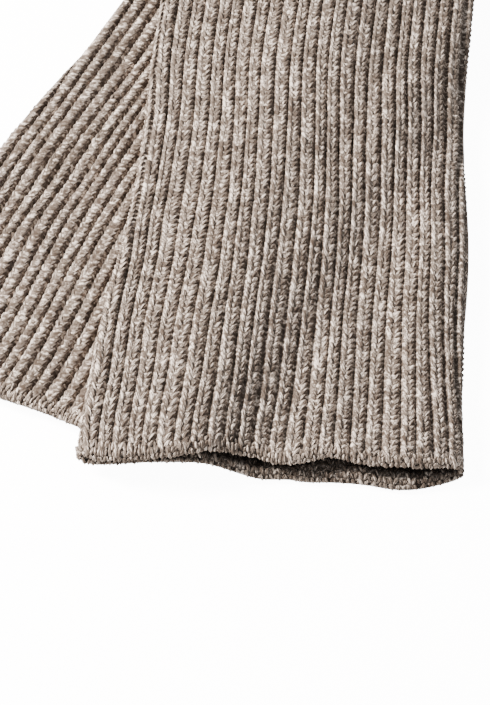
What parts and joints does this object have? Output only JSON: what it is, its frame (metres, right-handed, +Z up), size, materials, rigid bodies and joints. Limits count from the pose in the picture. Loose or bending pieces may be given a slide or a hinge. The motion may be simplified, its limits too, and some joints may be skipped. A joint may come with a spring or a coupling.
{
  "type": "pair of arm warmers",
  "caption": "Pair of rib-knit wool arm warmers lying flat, open at both ends, one laid slantwise across the other.",
  "frame": {"origin": "middle of the pair's footprint, on the surface that it lies on", "axes": "+Z up from that surface; +Y from the wide open hems at the front towards the far ends; +X to the right"},
  "size_m": [0.2262, 0.3655, 0.012],
  "materials": {
    "over_wool": "matt marl wool in one-by-one rib",
    "under_wool": "matt marl wool in one-by-one rib"
  },
  "bodies": {
    "root": {"warmer_over": "over_wool", "warmer_under": "under_wool"}
  },
  "joints": []
}
